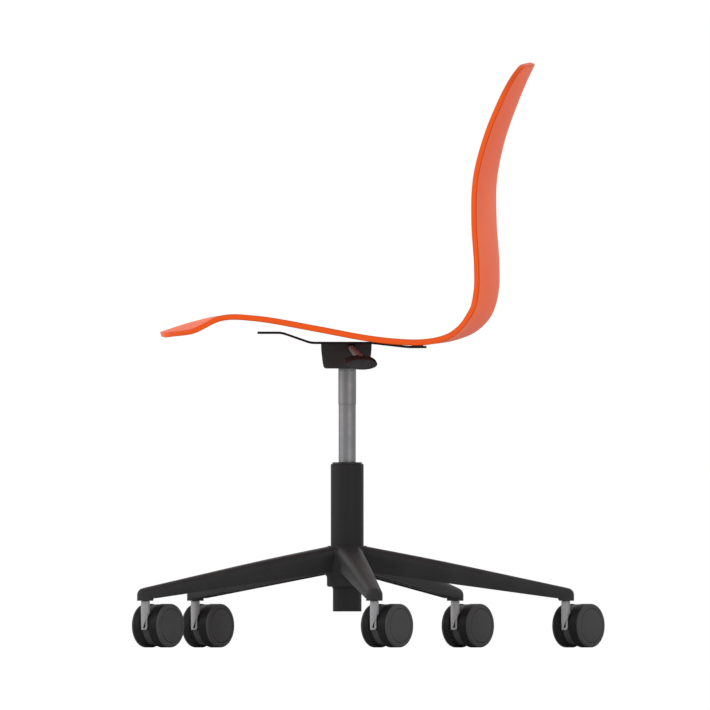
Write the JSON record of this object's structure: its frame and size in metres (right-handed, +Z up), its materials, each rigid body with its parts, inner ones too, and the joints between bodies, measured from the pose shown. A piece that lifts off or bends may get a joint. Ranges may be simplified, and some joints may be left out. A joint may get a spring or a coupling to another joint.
{
  "type": "swivel chair",
  "caption": "Swivel chair with a one-piece orange shell seat and back, gas spring column, release lever, and black star base on twin-wheel casters.",
  "frame": {"origin": "on the floor, on the axis of the column", "axes": "+Z up, the sitter faces -Y, the release lever is on the sitter's left, at +X"},
  "size_m": [0.705, 0.7093, 0.8784],
  "materials": {
    "base_nylon": "fine moulded grain",
    "column_black": "satin powder coat",
    "bush_black": "smooth",
    "bearing_steel": "ground",
    "buffer_rubber": "matt",
    "bright_steel": "polished",
    "spring_steel": "satin drawn tube",
    "socket_steel": "turned",
    "housing_black": "satin powder coat",
    "lever_grey": "satin",
    "grip_black": "satin",
    "plate_black": "satin powder coat",
    "shell_orange": "satin moulded",
    "insert_brass": "turned",
    "screw_black": "black zinc",
    "stem_zinc": "satin light grey",
    "hood_grey": "satin moulded",
    "wheel_grey": "satin moulded",
    "cap_grey": "satin moulded"
  },
  "bodies": {
    "base": {"star_base": "base_nylon", "column_tube": "column_black", "guide_bush": "bush_black", "bearing_lower_washer": "bearing_steel", "bearing_balls": "bearing_steel"},
    "rod": {"piston_rod": "bright_steel", "piston": "bush_black", "bearing_upper_washer": "bearing_steel", "rubber_buffer": "buffer_rubber", "retaining_clip": "bearing_steel"},
    "seat": {"gas_cylinder": "spring_steel", "cylinder_gland": "bush_black", "taper_socket": "socket_steel", "housing": "housing_black", "lever_pivot_pin": "bright_steel", "seat_plate": "plate_black", "seat_shell": "shell_orange", "shell_inserts": "insert_brass", "shell_screws": "screw_black"},
    "lever": {"lever_arm": "lever_grey", "lever_knob": "grip_black"},
    "release": {"release_pin": "bright_steel"},
    "caster_1": {"caster_1_stem": "stem_zinc", "caster_1_body": "hood_grey", "caster_1_axle": "bright_steel"},
    "caster_1_left": {"caster_1_wheel_left": "wheel_grey", "caster_1_cap_left": "cap_grey"},
    "caster_1_right": {"caster_1_wheel_right": "wheel_grey", "caster_1_cap_right": "cap_grey"},
    "caster_2": {"caster_2_stem": "stem_zinc", "caster_2_body": "hood_grey", "caster_2_axle": "bright_steel"},
    "caster_2_left": {"caster_2_wheel_left": "wheel_grey", "caster_2_cap_left": "cap_grey"},
    "caster_2_right": {"caster_2_wheel_right": "wheel_grey", "caster_2_cap_right": "cap_grey"},
    "caster_3": {"caster_3_stem": "stem_zinc", "caster_3_body": "hood_grey", "caster_3_axle": "bright_steel"},
    "caster_3_left": {"caster_3_wheel_left": "wheel_grey", "caster_3_cap_left": "cap_grey"},
    "caster_3_right": {"caster_3_wheel_right": "wheel_grey", "caster_3_cap_right": "cap_grey"},
    "caster_4": {"caster_4_stem": "stem_zinc", "caster_4_body": "hood_grey", "caster_4_axle": "bright_steel"},
    "caster_4_left": {"caster_4_wheel_left": "wheel_grey", "caster_4_cap_left": "cap_grey"},
    "caster_4_right": {"caster_4_wheel_right": "wheel_grey", "caster_4_cap_right": "cap_grey"},
    "caster_5": {"caster_5_stem": "stem_zinc", "caster_5_body": "hood_grey", "caster_5_axle": "bright_steel"},
    "caster_5_left": {"caster_5_wheel_left": "wheel_grey", "caster_5_cap_left": "cap_grey"},
    "caster_5_right": {"caster_5_wheel_right": "wheel_grey", "caster_5_cap_right": "cap_grey"}
  },
  "joints": [
    {"name": "seat_swivel", "type": "hinge", "parent": "base", "child": "rod", "pos_m": [0, 0, 0.2], "axis": [0, 0, 1], "continuous": true},
    {"name": "seat_lift", "type": "slide", "parent": "rod", "child": "seat", "axis": [0, 0, 1], "range_m": [-0.11, 0]},
    {"name": "lever_pull", "type": "hinge", "parent": "seat", "child": "lever", "pos_m": [0.036, 0.0064, 0.4493], "axis": [0, -1, 0], "range_deg": [0, 5], "stiffness_Nm_per_rad": 4, "springref_deg": -1.15},
    {"name": "release_press", "type": "slide", "parent": "seat", "child": "release", "axis": [0, 0, 1], "range_m": [-0.0033, 0]},
    {"name": "caster_1_swivel", "type": "hinge", "parent": "base", "child": "caster_1", "pos_m": [0.33151, 0.0407, 0.07], "axis": [0, 0, 1], "continuous": true},
    {"name": "caster_1_left_roll", "type": "hinge", "parent": "caster_1", "child": "caster_1_left", "pos_m": [0.30702, 0.0597, 0.0328], "axis": [-0.6129, -0.7902, 0], "continuous": true},
    {"name": "caster_1_right_roll", "type": "hinge", "parent": "caster_1", "child": "caster_1_right", "pos_m": [0.30702, 0.0597, 0.0328], "axis": [-0.6129, -0.7902, 0], "continuous": true},
    {"name": "caster_2_swivel", "type": "hinge", "parent": "base", "child": "caster_2", "pos_m": [0.06373, 0.32786, 0.07], "axis": [0, 0, 1], "continuous": true},
    {"name": "caster_2_left_roll", "type": "hinge", "parent": "caster_2", "child": "caster_2_left", "pos_m": [0.03923, 0.34686, 0.0328], "axis": [-0.6129, -0.7902, 0], "continuous": true},
    {"name": "caster_2_right_roll", "type": "hinge", "parent": "caster_2", "child": "caster_2_right", "pos_m": [0.03923, 0.34686, 0.0328], "axis": [-0.6129, -0.7902, 0], "continuous": true},
    {"name": "caster_3_swivel", "type": "hinge", "parent": "base", "child": "caster_3", "pos_m": [-0.29212, 0.16193, 0.07], "axis": [0, 0, 1], "continuous": true},
    {"name": "caster_3_left_roll", "type": "hinge", "parent": "caster_3", "child": "caster_3_left", "pos_m": [-0.31662, 0.18093, 0.0328], "axis": [-0.6129, -0.7902, 0], "continuous": true},
    {"name": "caster_3_right_roll", "type": "hinge", "parent": "caster_3", "child": "caster_3_right", "pos_m": [-0.31662, 0.18093, 0.0328], "axis": [-0.6129, -0.7902, 0], "continuous": true},
    {"name": "caster_4_swivel", "type": "hinge", "parent": "base", "child": "caster_4", "pos_m": [-0.24427, -0.22779, 0.07], "axis": [0, 0, 1], "continuous": true},
    {"name": "caster_4_left_roll", "type": "hinge", "parent": "caster_4", "child": "caster_4_left", "pos_m": [-0.26877, -0.20879, 0.0328], "axis": [-0.6129, -0.7902, 0], "continuous": true},
    {"name": "caster_4_right_roll", "type": "hinge", "parent": "caster_4", "child": "caster_4_right", "pos_m": [-0.26877, -0.20879, 0.0328], "axis": [-0.6129, -0.7902, 0], "continuous": true},
    {"name": "caster_5_swivel", "type": "hinge", "parent": "base", "child": "caster_5", "pos_m": [0.14115, -0.30271, 0.07], "axis": [0, 0, 1], "continuous": true},
    {"name": "caster_5_left_roll", "type": "hinge", "parent": "caster_5", "child": "caster_5_left", "pos_m": [0.11666, -0.28371, 0.0328], "axis": [-0.6129, -0.7902, 0], "continuous": true},
    {"name": "caster_5_right_roll", "type": "hinge", "parent": "caster_5", "child": "caster_5_right", "pos_m": [0.11666, -0.28371, 0.0328], "axis": [-0.6129, -0.7902, 0], "continuous": true}
  ],
  "couplings": [
    {"joint": "release_press", "follows": "lever_pull", "m_per_rad": -0.036}
  ]
}
